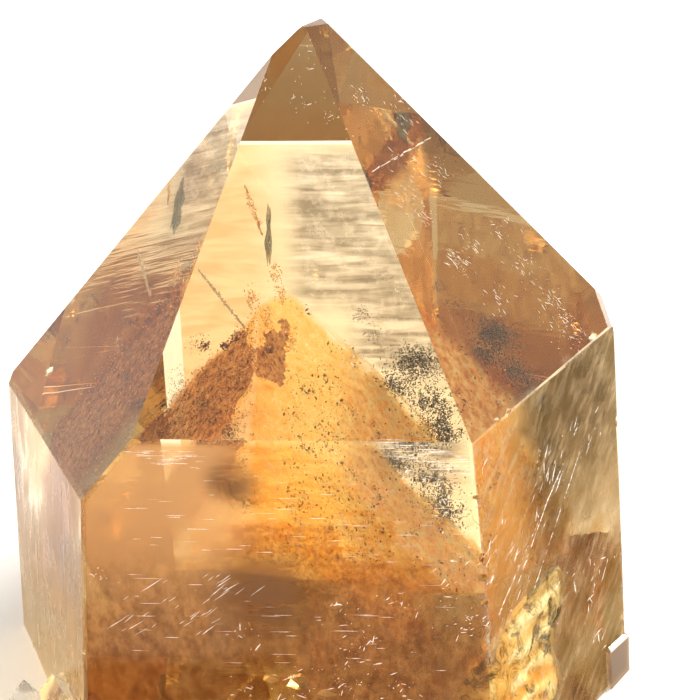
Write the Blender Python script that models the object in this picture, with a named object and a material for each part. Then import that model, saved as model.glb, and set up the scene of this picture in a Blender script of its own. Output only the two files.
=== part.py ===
"""Phantom quartz: one leaning, single-pointed quartz crystal on its own flat cut.

The crystal is the space shared by its natural faces, so each face is a plane with a
heading, an upward tilt and a distance from one point on the crystal's long axis. Small
side crystals, growth lines, chips and the hollow of the iron crust are then fused to it
or cut from it. The phantom inside is the same crystal at an earlier age, made in the same
way, and it stands in a pocket that is open only at the cut foot.
"""

import math
import random

import bmesh
import bpy
from mathutils import Matrix, Vector, noise

MM = 0.001
SEED = 23
GAP = 0.3  # mm left between the crystal and what fills its hollow and its pocket

# How the crystal stands: its long axis leans, and its foot is cut level with the ground.
LEAN_BACK = 8.88  # degrees
LEAN_LEFT = 4.78  # degrees
AXIS_POINT_HEIGHT = 24.6  # mm, from the cut to the point that the faces are measured from
BLOCK_SIZE = 160.0  # mm, the rough block that the faces are cut from

# Faces: heading in degrees (0 is the front, positive to the right), upward tilt of the
# face's normal in degrees, distance in mm from the measuring point on the axis.
POINT_FACES = {
    "front_point": (0.7, 35.8, 25.38),
    "left_point": (-61.7, 35.7, 26.08),
    "right_point": (59.2, 38.8, 28.20),
    "back_left_point": (-117.5, 37.4, 26.11),
    "back_right_point": (119.6, 36.8, 29.01),
    "back_point": (180.0, 38.2, 29.90),
}
PRISM_FACES = {
    "front_side": (0.4, -0.3, 22.61),
    "left_side": (-61.6, 4.7, 28.74),
    "right_side": (60.8, 1.4, 26.70),
    "back_right_side": (120.0, -0.4, 25.38),
    "back_left_side": (-119.9, -0.8, 27.48),
    "back_side": (180.0, 0.0, 23.50),
}
SMALL_FACES = {
    "shoulder": (90.0, 24.4, 31.83),
    "left_sliver": (-62.1, 8.5, 29.02),
    "broken_tip": (150.0, 78.0, 43.0),
}

# The phantom: each face is parallel to a face of the crystal, further in.
PHANTOM_POINT_FACES = {
    "front_point": (0.7, 36.0, 9.84),
    "left_point": (-61.7, 35.7, 8.44),
    "right_point": (59.2, 38.8, 1.64),
    "back_left_point": (-117.5, 37.4, 11.26),
    "back_right_point": (119.6, 36.8, 7.2),
    "back_point": (180.0, 38.2, 12.2),
}
PHANTOM_PRISM_FACES = {
    "front_side": (0.4, -0.3, 12.6),
    "left_side": (-61.6, 0.0, 19.0),
    "right_side": (60.8, 0.0, 16.5),
    "back_right_side": (120.0, 0.0, 17.0),
    "back_left_side": (-120.0, 0.0, 19.0),
    "back_side": (180.0, 0.0, 17.0),
}

# Small crystals grown on the foot: tip in mm in the crystal's axes, heading and angle of
# their lean, turn about their own axis, width across flats and tilt of their end faces.
SIDE_CRYSTALS = {
    "pale": ((-29.8, -17.0, -19.9), -150.0, 6.0, 10.0, 5.4, 33.0),
    "brown": ((-26.7, -17.3, -18.9), -95.0, 19.0, 90.0, 8.4, 36.0),
}
SIDE_CRYSTAL_LENGTH = 16.0
SIDE_CRYSTAL_SIDES = (1.0, 0.92, 0.96)  # how far out its sides lie, in turn, in half widths
SIDE_CRYSTAL_ENDS = (0.35, 0.60)  # the same for its end faces
# A step of parallel growth low on the right edge: the same faces, a little further out.
FOOT_STEP_CENTRE = (27.2, -2.2, -25.3)
FOOT_STEP_REACH = 3.0
FOOT_STEP_TOP = 2.9
FOOT_STEP_TILT = 60.0

# Growth lines: shallow boat-shaped grooves that run across the prism faces.
LINE_PITCH = 1.1
LINE_DEPTH = (0.008, 0.022)
LINE_LENGTH = (6.0, 24.0)
LINE_HEIGHT = (0.35, 0.7)  # as a share of the pitch
LINE_CLEAR = 0.02  # how far a groove's cutter stands off the face
LINE_SHIFT = 0.4  # how far a line's middle can lie from the face's middle, in face widths
LINE_RINGS = (-0.22, 0.26)  # where the groove is fully deep, as shares of its length
LINE_SPAN = {
    "front_side": (-27.0, 11.5),
    "right_side": (-7.0, 10.5),
    "back_right_side": (-25.0, -8.0),
    "back_left_side": (-22.0, -9.0),
    "back_side": (-19.0, 16.5),
}

# Chips on the edge between two faces: place along the edge from its point nearest the
# measuring point, in mm, and size.
EDGE_CHIPS = [
    ("front_point", "left_point", 37.9, 0.50),
    ("front_point", "left_point", 36.9, 0.42),
    ("front_point", "left_point", 33.4, 0.36),
    ("right_point", "right_side", -6.3, 0.50),
    ("right_point", "right_side", -4.4, 0.42),
    ("front_side", "left_side", -3.6, 0.45),
    ("front_side", "left_side", -14.4, 0.55),
    ("front_side", "right_side", 5.4, 0.50),
    ("front_side", "right_side", -1.4, 0.62),
    ("front_side", "right_side", -3.6, 0.70),
    ("front_side", "right_side", -6.4, 0.60),
    ("back_right_side", "back_side", -9.0, 0.80),
    ("back_left_side", "back_side", -14.0, 0.90),
    ("back_point", "back_right_point", 9.0, 0.50),
]
# Chips in the front face near the foot: across, up (mm in the crystal's axes), size.
FRONT_CHIPS = [(-3.2, -15.3, 1.0), (-0.6, -15.9, 1.3), (2.2, -16.9, 1.0), (4.3, -16.0, 0.6)]
# Flakes broken from the rim of the cut: heading in degrees and size.
RIM_FLAKES = [(-20.0, 2.6), (24.0, 2.0), (104.0, 1.8), (140.0, 2.8), (176.0, 2.2), (-128.0, 2.4)]
TIP_CHIPS = [((1.0, 0.2, 44.0), 0.6), ((2.0, -0.9, 43.9), 0.5), ((3.3, 0.3, 43.7), 0.65)]
CHIP_SQUASH = 0.55
CHIP_WIDTHS = (0.7, 1.2)
FRONT_CHIP_STAND_OFF = 0.1  # how far a chip's middle stands off the face, in chip sizes
FLAKE_STAND_OFF = 0.25

# The iron crust in its hollow over the front right edge. Each row: height in mm on the
# crystal's axis, then the left and right end, in mm around the edge (right is positive).
CRUST_ROWS = [
    (-9.3, 10.6, 12.2),
    (-9.9, 7.2, 12.5),
    (-10.6, 3.6, 12.7),
    (-11.7, 1.0, 12.8),
    (-13.6, -1.5, 12.6),
    (-15.5, -2.7, 10.6),
    (-17.5, -3.8, 10.2),
    (-19.9, -4.1, 11.0),
    (-22.6, -3.1, 11.2),
    (-24.6, -0.6, 9.4),
    (-25.6, 2.4, 6.8),
]
CRUST_STEPS = (14, 22)  # facets across and down
CRUST_SUNK = 0.35  # mm that the crust lies under the old face
CRUST_THICKNESS = (0.5, 1.7)  # at its rim and in its middle
CRUST_LUMPS = 0.34
CRUST_WRINKLE = 3.1  # mm between wrinkles
EDGE_WEAR = 0.9  # mm that the broken edge has lost inside the hollow
EDGE_WEAR_WIDTH = 2.4
HOLLOW_STAND_OFF = 2.5

QUARTZ = dict(colour=(0.93, 0.79, 0.60, 1.0), roughness=0.03, transmission=1.0, ior=1.544)
PHANTOM_DUST = dict(colour=(0.72, 0.42, 0.18, 1.0), roughness=0.9, transmission=0.0, ior=1.5)
IRON_CRUST = dict(colour=(0.78, 0.62, 0.27, 1.0), roughness=0.85, transmission=0.0, ior=1.5)


def clear_scene():
    for old in list(bpy.data.objects):
        bpy.data.objects.remove(old, do_unlink=True)


def material(name, colour, roughness, transmission, ior):
    made = bpy.data.materials.new(name)
    made.use_nodes = True
    shader = made.node_tree.nodes["Principled BSDF"]
    shader.inputs["Base Color"].default_value = colour
    shader.inputs["Roughness"].default_value = roughness
    shader.inputs["Metallic"].default_value = 0.0
    shader.inputs["Transmission Weight"].default_value = transmission
    shader.inputs["IOR"].default_value = ior
    return made


def normal_of(heading, tilt):
    """Unit normal of a face from its heading and its upward tilt in degrees."""
    turn = math.radians(heading)
    rise = math.radians(tilt)
    level = math.cos(rise)
    return Vector((math.sin(turn) * level, -math.cos(turn) * level, math.sin(rise)))


def plane(name):
    """A face's normal and its distance in mm."""
    heading, tilt, distance = {**POINT_FACES, **PRISM_FACES, **SMALL_FACES}[name]
    return normal_of(heading, tilt), distance


def slice_off(mesh, point, normal):
    """Cut away what lies outside a plane, and close the cut with one flat face."""
    everything = mesh.verts[:] + mesh.edges[:] + mesh.faces[:]
    cut = bmesh.ops.bisect_plane(
        mesh, geom=everything, dist=1e-6, plane_co=point, plane_no=normal, clear_outer=True
    )
    rim = [item for item in cut["geom_cut"] if isinstance(item, bmesh.types.BMEdge)]
    if rim:
        bmesh.ops.contextual_create(mesh, geom=rim)


def faceted_block(faces, size):
    """A closed convex crystal in mm: a cube cut by each (normal, distance) in turn."""
    mesh = bmesh.new()
    bmesh.ops.create_cube(mesh, size=size)
    for normal, distance in faces:
        slice_off(mesh, normal * distance, normal)
    bmesh.ops.recalc_face_normals(mesh, faces=mesh.faces[:])
    return mesh


def phantom_block(grow):
    """The phantom's faces, each moved outwards by some mm; it has no end below."""
    faces = {**PHANTOM_POINT_FACES, **PHANTOM_PRISM_FACES}.values()
    moved = [(normal_of(heading, tilt), distance + grow) for heading, tilt, distance in faces]
    return faceted_block(moved, BLOCK_SIZE)


def add_object(name, mesh, parent, finish=None):
    """Turn a bmesh in mm into an object in metres, under the leaning empty."""
    mesh.transform(Matrix.Scale(MM, 4))
    data = bpy.data.meshes.new(name)
    mesh.to_mesh(data)
    mesh.free()
    made = bpy.data.objects.new(name, data)
    bpy.context.collection.objects.link(made)
    made.parent = parent
    if finish is not None:
        data.materials.append(finish)
    return made


def join_by(target, tool, operation):
    """Fuse a tool object to the target or cut it away, and keep the tool as a guide."""
    tool.hide_render = True
    tool.display_type = "WIRE"
    step = target.modifiers.new(tool.name, "BOOLEAN")
    step.operation = operation
    step.solver = "EXACT"
    step.object = tool


def leaning_empty():
    """The frame of the crystal's own axes: leaning, with its cut foot on the ground."""
    empty = bpy.data.objects.new("crystal_axes", None)
    bpy.context.collection.objects.link(empty)
    back = Matrix.Rotation(math.radians(-LEAN_BACK), 4, "X")
    left = Matrix.Rotation(math.radians(-LEAN_LEFT), 4, "Y")
    empty.matrix_world = Matrix.Translation((0, 0, AXIS_POINT_HEIGHT * MM)) @ back @ left
    return empty


def main_crystal(parent, finish):
    faces = [plane(name) for name in (*POINT_FACES, *PRISM_FACES, *SMALL_FACES)]
    return add_object("quartz_crystal", faceted_block(faces, BLOCK_SIZE), parent, finish)


def side_crystal(name, parent):
    """A small six-sided crystal with its tip at a given point, leaning its own way."""
    tip, heading, lean, twist, width, end_tilt = SIDE_CRYSTALS[name]
    half = width / 2
    turns = [60 * step + twist for step in range(6)]
    reach = math.cos(math.radians(end_tilt))
    faces = [
        (normal_of(turn, 0), half * share) for turn, share in zip(turns, 2 * SIDE_CRYSTAL_SIDES)
    ]
    faces += [
        (normal_of(turn, end_tilt), half * reach * share)
        for turn, share in zip(turns, 3 * SIDE_CRYSTAL_ENDS)
    ]
    faces.append((Vector((0, 0, -1)), SIDE_CRYSTAL_LENGTH))
    mesh = faceted_block(faces, 3 * SIDE_CRYSTAL_LENGTH)
    top = max(mesh.verts, key=lambda corner: corner.co.z).co.copy()
    axis = normal_of(heading, 90 - lean)
    turn = Vector((0, 0, 1)).rotation_difference(axis).to_matrix().to_4x4()
    mesh.transform(Matrix.Translation(tip) @ turn @ Matrix.Translation(-top))
    return add_object(f"guide_{name}_crystal", mesh, parent)


def foot_step(parent):
    """Parallel growth on the right edge: the prism's own headings around a nearby axis."""
    faces = [(normal_of(heading, 0), FOOT_STEP_REACH) for heading, _, _ in PRISM_FACES.values()]
    faces += [(normal_of(heading, FOOT_STEP_TILT), FOOT_STEP_TOP) for heading, _, _ in PRISM_FACES.values()]
    faces.append((Vector((0, 0, -1)), 2 * FOOT_STEP_REACH))
    mesh = faceted_block(faces, 8 * FOOT_STEP_REACH)
    mesh.transform(Matrix.Translation(FOOT_STEP_CENTRE))
    return add_object("guide_foot_step", mesh, parent)


def face_frame(name):
    """Matrix of a face: X across it, Y up it, Z out of it, origin under its normal."""
    normal, distance = plane(name)
    across = Vector((0, 0, 1)).cross(normal).normalized()
    up = normal.cross(across)
    frame = Matrix((across, up, normal)).transposed().to_4x4()
    frame.translation = normal * distance
    return frame


def add_groove(mesh, frame, middle, low, length, height, depth):
    """One boat-shaped groove: V-shaped across, and running out to a point at each end."""
    centre = low + height / 2
    section = [(low, LINE_CLEAR), (centre, -depth), (low + height, LINE_CLEAR)]
    rings = []
    for share in LINE_RINGS:
        ring = [mesh.verts.new(frame @ Vector((middle + share * length, y, z))) for y, z in section]
        rings.append(ring)
    ends = [
        mesh.verts.new(frame @ Vector((middle + side * length, centre, LINE_CLEAR)))
        for side in (-0.5, 0.5)
    ]
    for k in range(3):
        after = (k + 1) % 3
        mesh.faces.new((rings[0][k], rings[0][after], rings[1][after], rings[1][k]))
        mesh.faces.new((ends[0], rings[0][after], rings[0][k]))
        mesh.faces.new((ends[1], rings[1][k], rings[1][after]))


def growth_line_cutter(name, width, parent, draw):
    """All the grooves of one prism face, each in a band of its own so that none touch."""
    mesh = bmesh.new()
    frame = face_frame(name)
    low, high = LINE_SPAN[name]
    for band in range(int((high - low) / LINE_PITCH)):
        length = draw.uniform(*LINE_LENGTH)
        middle = draw.uniform(-LINE_SHIFT, LINE_SHIFT) * width
        height = draw.uniform(*LINE_HEIGHT) * LINE_PITCH
        depth = draw.uniform(*LINE_DEPTH)
        add_groove(mesh, frame, middle, low + band * LINE_PITCH, length, height, depth)
    bmesh.ops.recalc_face_normals(mesh, faces=mesh.faces[:])
    return add_object(f"guide_lines_{name}", mesh, parent)


def face_width(name):
    """Rough width of a prism face in mm, from the faces beside it."""
    names = list(PRISM_FACES)
    order = sorted(names, key=lambda other: PRISM_FACES[other][0])
    place = order.index(name)
    normal, distance = plane(name)
    ends = []
    for beside in (order[place - 1], order[(place + 1) % len(order)]):
        other, far = plane(beside)
        share = normal.dot(other)
        ends.append((far - distance * share) / math.sqrt(1 - share * share))
    return sum(ends)


def edge_point(first, second, along):
    """The point at a distance along the edge of two faces, from its nearest point."""
    normal_a, far_a = plane(first)
    normal_b, far_b = plane(second)
    share = normal_a.dot(normal_b)
    weight_a = (far_a - far_b * share) / (1 - share * share)
    weight_b = (far_b - far_a * share) / (1 - share * share)
    run = normal_a.cross(normal_b).normalized()
    if run.z < 0:
        run = -run
    return normal_a * weight_a + normal_b * weight_b + run * along


def add_chip(mesh, centre, size, draw):
    """A flat, uneven pebble: what a small shell-shaped break takes away."""
    turn = Matrix.Rotation(draw.uniform(0, math.pi), 4, draw.choice("XYZ"))
    shape = Matrix.Diagonal((size, size * draw.uniform(*CHIP_WIDTHS), size * CHIP_SQUASH, 1))
    bmesh.ops.create_icosphere(
        mesh, subdivisions=1, radius=1.0, matrix=Matrix.Translation(centre) @ turn @ shape
    )


def chip_cutter(parent, draw):
    mesh = bmesh.new()
    for first, second, along, size in EDGE_CHIPS:
        add_chip(mesh, edge_point(first, second, along), size, draw)
    distance = plane("front_side")[1]
    for across, up, size in FRONT_CHIPS:
        middle = Vector((across, -distance - FRONT_CHIP_STAND_OFF * size, up))
        add_chip(mesh, middle, size, draw)
    for centre, size in TIP_CHIPS:
        add_chip(mesh, Vector(centre), size, draw)
    return add_object("guide_chips", mesh, parent)


def rim_flake_cutter(crystal_axes, draw):
    """Flakes lost around the foot, set where each heading leaves the prism at the cut."""
    mesh = bmesh.new()
    down = -AXIS_POINT_HEIGHT
    for heading, size in RIM_FLAKES:
        ray = normal_of(heading, 0)
        reach = min(
            far / ray.dot(normal)
            for normal, far in (plane(name) for name in PRISM_FACES)
            if ray.dot(normal) > 0.1
        )
        add_chip(mesh, ray * (reach + FLAKE_STAND_OFF * size) + Vector((0, 0, down)), size, draw)
    return add_object("guide_rim_flakes", mesh, crystal_axes)


def crust_surface(around, height):
    """Point and outward normal on the old faces, by distance around the front right edge."""
    front, front_far = plane("front_side")
    right, right_far = plane("right_side")
    level = Vector((0, 0, 1))
    share = front.dot(right)
    across = front.cross(right)
    corner = (
        front_far * right.cross(level) + right_far * level.cross(front) + height * across
    ) / across.dot(level)
    side = right if around > 0 else front
    run = level.cross(side).normalized()
    blend = 0.5 + 0.5 * math.tanh(around / EDGE_WEAR_WIDTH)
    outward = (front * (1 - blend) + right * blend).normalized()
    worn = EDGE_WEAR * math.exp(-((around / EDGE_WEAR_WIDTH) ** 2)) * (1 - 0.5 * share)
    return corner + run * around - outward * worn, outward


def crust_row(share):
    """Height, left end and right end of the crust at a share of the way down."""
    place = share * (len(CRUST_ROWS) - 1)
    row = min(int(place), len(CRUST_ROWS) - 2)
    rest = place - row
    above, below = CRUST_ROWS[row], CRUST_ROWS[row + 1]
    return [a * (1 - rest) + b * rest for a, b in zip(above, below)]


def crust_body(grow, front_level, back_level):
    """A closed grid body over the crust's outline, grown outwards by some mm."""
    columns, rows = CRUST_STEPS
    mesh = bmesh.new()
    skins = []
    for level in (front_level, back_level):
        skin = []
        for j in range(rows + 1):
            height, left, right = crust_row(j / rows)
            height += grow * (1 - 2 * j / rows)
            line = []
            for i in range(columns + 1):
                s = i / columns
                around = (left - grow) * (1 - s) + (right + grow) * s
                point, outward = crust_surface(around, height)
                rim = min(1.0, 5 * s * (1 - s)) * min(1.0, 6 * (j / rows) * (1 - j / rows))
                line.append(mesh.verts.new(point + outward * level(around, height, rim)))
            skin.append(line)
        skins.append(skin)
    front, back = skins
    for j in range(rows):
        for i in range(columns):
            mesh.faces.new((front[j][i], front[j + 1][i], front[j + 1][i + 1], front[j][i + 1]))
            mesh.faces.new((back[j][i], back[j][i + 1], back[j + 1][i + 1], back[j + 1][i]))
    for j in range(rows):
        for i in (0, columns):
            mesh.faces.new((front[j][i], back[j][i], back[j + 1][i], front[j + 1][i]))
    for i in range(columns):
        for j in (0, rows):
            mesh.faces.new((front[j][i], front[j][i + 1], back[j][i + 1], back[j][i]))
    bmesh.ops.recalc_face_normals(mesh, faces=mesh.faces[:])
    return mesh


def crust_top(around, height, rim):
    """Level of the crust's lumpy, wrinkled outside, under the old face."""
    lump = noise.noise(Vector((around * 0.55, height * 0.8, 3.1)))
    wrinkle = math.sin(2 * math.pi * (height + 0.8 * lump) / CRUST_WRINKLE)
    return -CRUST_SUNK + rim * CRUST_LUMPS * (0.9 * lump + 0.6 * wrinkle)


def crust_bottom(around, height, rim):
    """Level of the crust's inside, bowl-shaped and deepest in its middle."""
    thin, thick = CRUST_THICKNESS
    return -CRUST_SUNK - CRUST_LUMPS - thin - (thick - thin) * rim


def hollow_top(around, height, rim):
    return HOLLOW_STAND_OFF


def hollow_bottom(around, height, rim):
    return crust_bottom(around, height, rim) - GAP


def ground_cutter():
    """Everything below the ground, which cuts the foot level."""
    mesh = bmesh.new()
    bmesh.ops.create_cube(mesh, size=BLOCK_SIZE)
    mesh.transform(Matrix.Translation((0, 0, -BLOCK_SIZE / 2)))
    return add_object("guide_ground", mesh, None)


def centre_on_foot(crystal, crystal_axes):
    """Move the model so that its box stands centred on the origin."""
    bpy.context.view_layer.update()
    shaped = crystal.evaluated_get(bpy.context.evaluated_depsgraph_get())
    corners = [shaped.matrix_world @ corner.co for corner in shaped.data.vertices]
    for axis in (0, 1):
        values = [corner[axis] for corner in corners]
        crystal_axes.location[axis] -= (min(values) + max(values)) / 2
    bpy.context.view_layer.update()


def build():
    clear_scene()
    draw = random.Random(SEED)
    quartz = material("quartz", **QUARTZ)
    crust_finish = material("iron_crust", **IRON_CRUST)
    axes = leaning_empty()
    crystal = main_crystal(axes, quartz)
    for name in SIDE_CRYSTALS:
        join_by(crystal, side_crystal(name, axes), "UNION")
    join_by(crystal, foot_step(axes), "UNION")
    for name in LINE_SPAN:
        join_by(crystal, growth_line_cutter(name, face_width(name), axes, draw), "DIFFERENCE")
    join_by(crystal, chip_cutter(axes, draw), "DIFFERENCE")
    join_by(crystal, rim_flake_cutter(axes, draw), "DIFFERENCE")
    hollow = add_object("guide_hollow", crust_body(GAP, hollow_top, hollow_bottom), axes)
    join_by(crystal, hollow, "DIFFERENCE")
    join_by(crystal, add_object("guide_pocket", phantom_block(GAP), axes), "DIFFERENCE")
    phantom = add_object("phantom", phantom_block(0.0), axes, material("phantom_dust", **PHANTOM_DUST))
    ground = ground_cutter()
    join_by(crystal, ground, "DIFFERENCE")
    join_by(phantom, ground, "DIFFERENCE")
    add_object("iron_crust", crust_body(0.0, crust_top, crust_bottom), axes, crust_finish)
    centre_on_foot(crystal, axes)


build()
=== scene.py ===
# %% [markdown]
# # A phantom quartz, finished in Blender
# A phantom quartz is a clear crystal with the ghost of a smaller one inside it. Rusty dust
# settled on the crystal while it was young, and the clear quartz that grew later sealed
# that dust in. This lesson starts from the finished solids and adds what makes the stone
# look real: clear amber quartz, the rusty phantom, its grains, its cracks and its crust.

# %% Load the solids
import math
import random

import bmesh
import bpy
import numpy as np
from mathutils import Matrix, Vector, noise
from mathutils.bvhtree import BVHTree


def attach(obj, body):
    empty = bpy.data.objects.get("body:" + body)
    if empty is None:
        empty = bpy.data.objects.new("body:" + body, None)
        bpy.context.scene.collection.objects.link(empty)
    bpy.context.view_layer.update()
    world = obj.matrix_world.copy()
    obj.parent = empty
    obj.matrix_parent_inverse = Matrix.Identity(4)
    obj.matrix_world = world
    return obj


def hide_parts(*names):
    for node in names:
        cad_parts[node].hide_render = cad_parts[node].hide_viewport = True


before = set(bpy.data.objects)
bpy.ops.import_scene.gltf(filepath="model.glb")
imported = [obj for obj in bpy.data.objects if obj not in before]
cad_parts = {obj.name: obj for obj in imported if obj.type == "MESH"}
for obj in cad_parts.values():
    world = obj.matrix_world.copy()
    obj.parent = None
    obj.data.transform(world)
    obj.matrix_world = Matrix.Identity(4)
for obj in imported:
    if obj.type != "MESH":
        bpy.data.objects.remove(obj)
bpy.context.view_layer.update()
MM = 0.001
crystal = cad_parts["quartz_crystal"]
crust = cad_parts["iron_crust"]

# %% [markdown]
# ## The crystal's own axes
# The stone leans, but its faces only make sense along its long axis. One matrix turns a
# place measured along the crystal, in mm, into a place in the world. The lean is known, and
# two flat faces of the solid give the point that everything is measured from.

# %% The crystal's axes
LEAN_BACK = 8.88
LEAN_LEFT = 4.78
AXIS_POINT_HEIGHT = 24.6
FRONT_SIDE = (0.4, -0.3, 22.61)
LEFT_SIDE = (-61.6, 4.7, 28.74)
RIGHT_SIDE = (60.8, 1.4, 26.70)
BACK_SIDE = (180.0, 0.0, 23.50)
BACKWARD = Matrix.Rotation(math.radians(-LEAN_BACK), 3, "X")
LEAN = BACKWARD @ Matrix.Rotation(math.radians(-LEAN_LEFT), 3, "Y")


def normal_of(heading, tilt):
    """A face's normal from its heading (0 is the front, positive is right) and upward tilt."""
    turn = math.radians(heading)
    rise = math.radians(tilt)
    level = math.cos(rise)
    return Vector((math.sin(turn) * level, -math.cos(turn) * level, math.sin(rise)))


def face_distance(normal):
    """How far from the world's origin the outermost face with that world normal lies, in mm."""
    facing = [face for face in crystal.data.polygons if face.normal.dot(normal) > 0.9999]
    reach = [normal.dot(face.center) / MM for face in facing]
    outer = [(face.area, far) for face, far in zip(facing, reach) if far > max(reach) - 0.05]
    return sum(area * far for area, far in outer) / sum(area for area, _ in outer)


def find_axis_point():
    """Two faces give the measuring point's place across, and its height is known."""
    rows = []
    values = []
    for heading, tilt, distance in (FRONT_SIDE, RIGHT_SIDE):
        normal = LEAN @ normal_of(heading, tilt)
        rows.append((normal.x, normal.y))
        values.append(face_distance(normal) - distance - normal.z * AXIS_POINT_HEIGHT)
    x, y = np.linalg.solve(np.array(rows), np.array(values))
    return Vector((x, y, AXIS_POINT_HEIGHT)) * MM


AXIS_POINT = find_axis_point()
TO_WORLD = Matrix.Translation(AXIS_POINT) @ LEAN.to_4x4() @ Matrix.Scale(MM, 4)
FROM_WORLD = TO_WORLD.inverted()
print("measuring point in mm:", [round(v / MM, 3) for v in AXIS_POINT])

# %% [markdown]
# ## Flat places to draw on
# Dust lies on old faces, and scratches lie on new ones. So most details start as a place on
# a plane: so many mm across it, so many up it, and so many out of it. The noise functions
# below take mm as well, and give the same answer every time.

# %% Planes and noise
class Plane:
    """A face's plane in the crystal's axes, with a point on it for any (across, up)."""

    def __init__(self, heading, tilt, distance):
        self.normal = normal_of(heading, tilt)
        self.distance = distance
        self.across = Vector((0, 0, 1)).cross(self.normal).normalized()
        self.up = self.normal.cross(self.across)

    def point(self, across, up, out=0.0):
        return self.normal * (self.distance + out) + self.across * across + self.up * up

    def depth(self, point):
        """How far inside the plane a point lies, in mm."""
        return self.distance - self.normal.dot(point)


def wander(point, size, seed=0.0):
    """Smooth noise from -1 to 1 that changes over about `size` mm."""
    return noise.noise(Vector(point) / size + Vector((seed, 1.7 * seed, 0.6 * seed)))


def cloudy(point, size, seed=0.0, octaves=4):
    """Noise with finer noise on top of it, as in clouds and rough breaks."""
    total = 0.0
    for octave in range(octaves):
        total += wander(point, size / 2**octave, seed + 5 * octave) / 2**octave
    return total


def smooth_step(value, low, high):
    share = min(max((value - low) / (high - low), 0.0), 1.0)
    return share * share * (3 - 2 * share)

# %% [markdown]
# ## A short way to write materials
# A material is a web of nodes. The class below adds a node and feeds its inputs in one line:
# a value is set and another node's output is linked. `place` gives every texture the same
# ruler, mm along the crystal's axes, so a texture can be stretched along the crystal.

# %% Material tools
WHITE = (1.0, 1.0, 1.0)


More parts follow.
